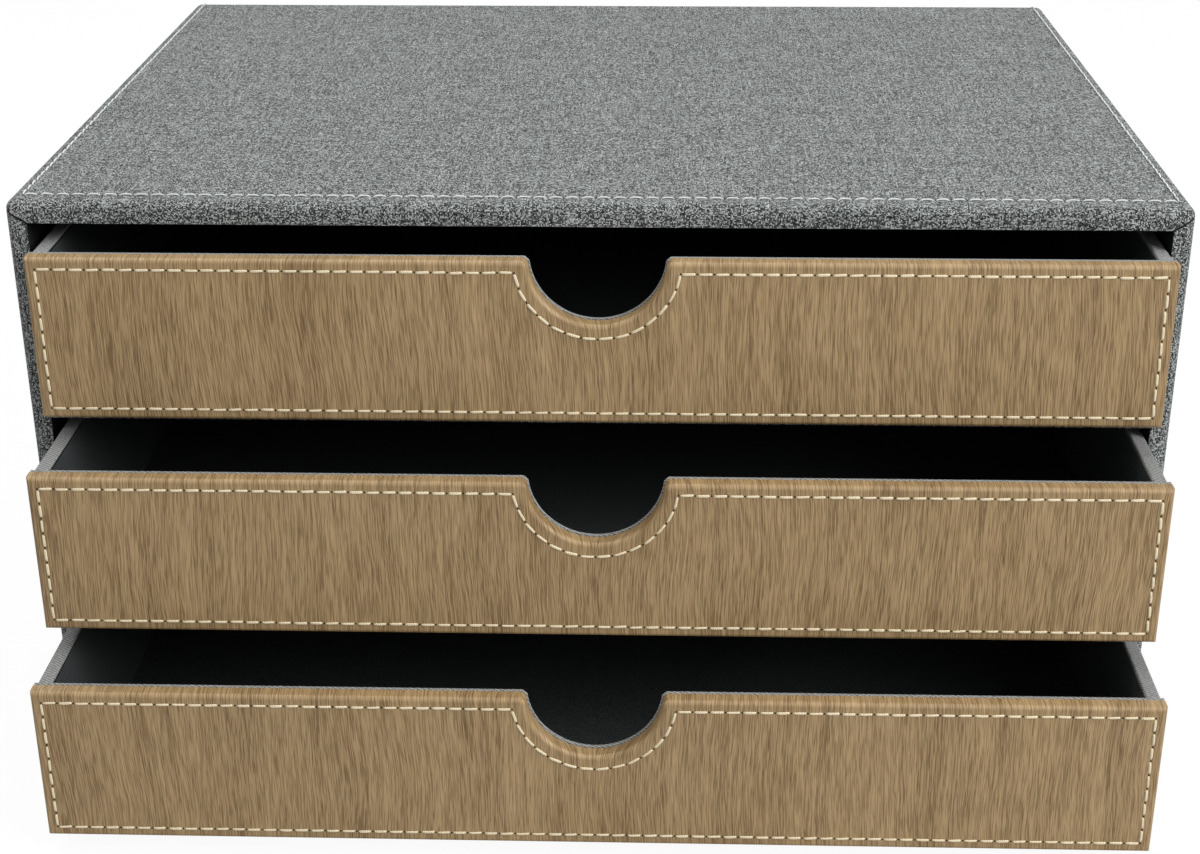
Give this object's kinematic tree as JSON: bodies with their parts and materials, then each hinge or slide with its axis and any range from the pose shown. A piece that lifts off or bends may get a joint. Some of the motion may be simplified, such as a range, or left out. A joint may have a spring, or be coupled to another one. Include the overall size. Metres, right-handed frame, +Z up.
{
  "type": "drawer organizer",
  "caption": "Desk organiser with a woven-look fabric case and wide open-topped drawers that slide out, each with a stitched wood-grain front and a half-round finger notch.",
  "frame": {"origin": "centre of the case's underside", "axes": "+X to the object's right as seen from the front, +Y to the back, +Z up"},
  "size_m": [0.34, 0.316, 0.1858],
  "materials": {
    "woven_cover": "fine grey woven linen look, light and dark flecks",
    "wood_grain_cover": "wood-grain leatherette, satin, cream stitching",
    "ribbed_wrap": "grey ribbed fabric, matt",
    "black_liner": "black woven fabric, matt",
    "black_lining": "black lining paper cloth, matt",
    "base_cover": "black felt-like base cloth",
    "board": "raw fibreboard",
    "thread": "cream sewing thread"
  },
  "bodies": {
    "case": {"top_board": "board", "base_board": "board", "left_board": "board", "right_board": "board", "rear_board": "board", "upper_shelf": "board", "lower_shelf": "board", "upper_shelf_edging": "woven_cover", "lower_shelf_edging": "woven_cover", "outer_cover": "woven_cover", "rear_cover": "woven_cover", "base_cover": "base_cover", "top_bay_lining": "black_lining", "middle_bay_lining": "black_lining", "bottom_bay_lining": "black_lining"},
    "top_drawer": {"top_front_board": "board", "top_front_cover": "wood_grain_cover", "top_front_lining": "ribbed_wrap", "top_left_wall": "board", "top_right_wall": "board", "top_rear_wall": "board", "top_floor": "board", "top_wrap": "ribbed_wrap", "top_liner": "black_liner"},
    "middle_drawer": {"middle_front_board": "board", "middle_front_cover": "wood_grain_cover", "middle_front_lining": "ribbed_wrap", "middle_left_wall": "board", "middle_right_wall": "board", "middle_rear_wall": "board", "middle_floor": "board", "middle_wrap": "ribbed_wrap", "middle_liner": "black_liner"},
    "bottom_drawer": {"bottom_front_board": "board", "bottom_front_cover": "wood_grain_cover", "bottom_front_lining": "ribbed_wrap", "bottom_left_wall": "board", "bottom_right_wall": "board", "bottom_rear_wall": "board", "bottom_floor": "board", "bottom_wrap": "ribbed_wrap", "bottom_liner": "black_liner"}
  },
  "joints": [
    {"name": "top_drawer_slide", "type": "slide", "parent": "case", "child": "top_drawer", "axis": [0, -1, 0], "range_m": [-0.014, 0.186]},
    {"name": "middle_drawer_slide", "type": "slide", "parent": "case", "child": "middle_drawer", "axis": [0, -1, 0], "range_m": [-0.0355, 0.1645]},
    {"name": "bottom_drawer_slide", "type": "slide", "parent": "case", "child": "bottom_drawer", "axis": [0, -1, 0], "range_m": [-0.056, 0.144]}
  ]
}
